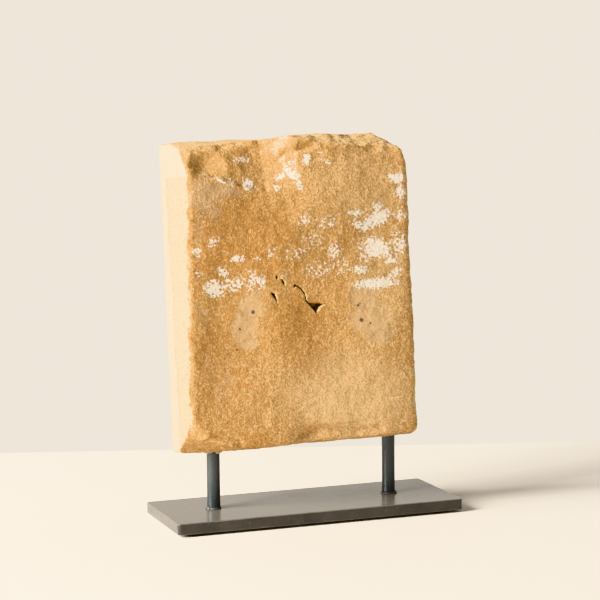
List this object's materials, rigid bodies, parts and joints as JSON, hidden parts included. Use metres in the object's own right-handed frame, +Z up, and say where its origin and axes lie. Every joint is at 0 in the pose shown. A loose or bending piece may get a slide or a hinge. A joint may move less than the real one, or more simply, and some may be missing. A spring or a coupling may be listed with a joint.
{
  "type": "stone wall niche",
  "caption": "Rough sandstone slab with a plain pointed-arch wall niche carved in its far side, held up on a dark steel stand.",
  "frame": {"origin": "on the table, below the middle of the base plate", "axes": "+Z up; +X along the plate; the rough split side of the slab faces -Y and the carved niche faces +Y"},
  "size_m": [0.268, 0.1, 0.3426],
  "materials": {
    "sandstone": "rough split ochre sandstone with old limewash",
    "plate_steel": "waxed blackened steel, semi-gloss",
    "post_steel": "blackened steel, satin",
    "weld_steel": "blackened weld bead",
    "resin": "sand-coloured resin",
    "pad_rubber": "black rubber"
  },
  "bodies": {
    "root": {"niche_stone": "sandstone", "base_plate": "plate_steel", "post_left": "post_steel", "post_right": "post_steel", "weld_left": "weld_steel", "weld_right": "weld_steel", "resin_left": "resin", "resin_right": "resin", "pad_left_front": "pad_rubber", "pad_left_back": "pad_rubber", "pad_right_front": "pad_rubber", "pad_right_back": "pad_rubber"}
  },
  "joints": []
}
